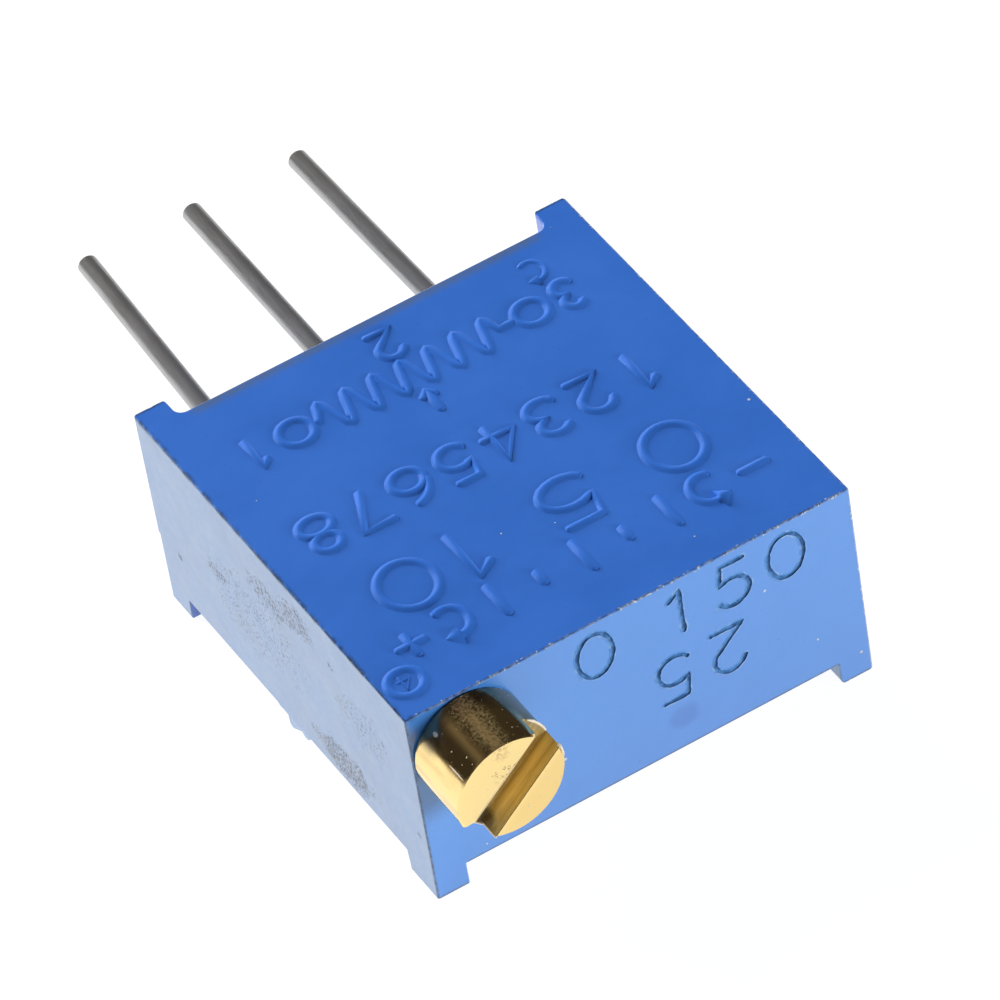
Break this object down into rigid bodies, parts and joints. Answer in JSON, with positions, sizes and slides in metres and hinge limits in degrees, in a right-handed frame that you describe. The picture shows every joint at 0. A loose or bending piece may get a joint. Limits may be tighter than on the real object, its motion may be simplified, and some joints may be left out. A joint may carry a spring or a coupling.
{
  "type": "trimmer potentiometer",
  "caption": "Multi-turn trimmer potentiometer: slotted worm screw at one corner, geared rotor with a sprung wiper inside a moulded box, wire terminals in line out of the opposite face.",
  "frame": {"origin": "axis of the middle terminal, at the plane where the ribs of the terminal face meet the circuit board", "axes": "+X along the terminal row from terminal 1 to terminal 3, +Y the way the terminals point, +Z out of the label face; the part rests on its feet, which face -Z"},
  "size_m": [0.0096, 0.0187, 0.0048],
  "materials": {
    "housing_plastic": "satin",
    "potting_resin": "satin",
    "screw_brass": "satin",
    "seal_rubber": "matte",
    "clip_bronze": "satin",
    "rotor_plastic": "satin",
    "wiper_spring": "satin",
    "substrate_ceramic": "matte",
    "resistive_film": "matte",
    "conductor_film": "satin",
    "terminal_tin": "satin",
    "solder_tin": "satin"
  },
  "bodies": {
    "housing": {"housing": "housing_plastic", "potting": "potting_resin", "retaining_clip": "clip_bronze", "substrate": "substrate_ceramic", "resistive_track": "resistive_film", "collector_track": "conductor_film", "end_termination_1": "conductor_film", "end_termination_3": "conductor_film", "terminal_pin_1": "terminal_tin", "terminal_pin_2": "terminal_tin", "terminal_pin_3": "terminal_tin", "solder_joint_1": "solder_tin", "solder_joint_2": "solder_tin", "solder_joint_3": "solder_tin"},
    "screw": {"adjustment_screw": "screw_brass", "shaft_seal": "seal_rubber"},
    "rotor": {"rotor_gear": "rotor_plastic", "wiper": "wiper_spring"}
  },
  "joints": [
    {"name": "screw_turn", "type": "hinge", "parent": "housing", "child": "screw", "pos_m": [-0.00361, -0.00953, 0.00154], "axis": [0, 1, 0], "range_deg": [-4500, 4500]},
    {"name": "rotor_turn", "type": "hinge", "parent": "housing", "child": "rotor", "pos_m": [0, -0.00528, 0.0013], "axis": [0, 0, 1], "range_deg": [-150, 150]}
  ],
  "couplings": [
    {"joint": "rotor_turn", "follows": "screw_turn", "ratio": 0.033333}
  ]
}
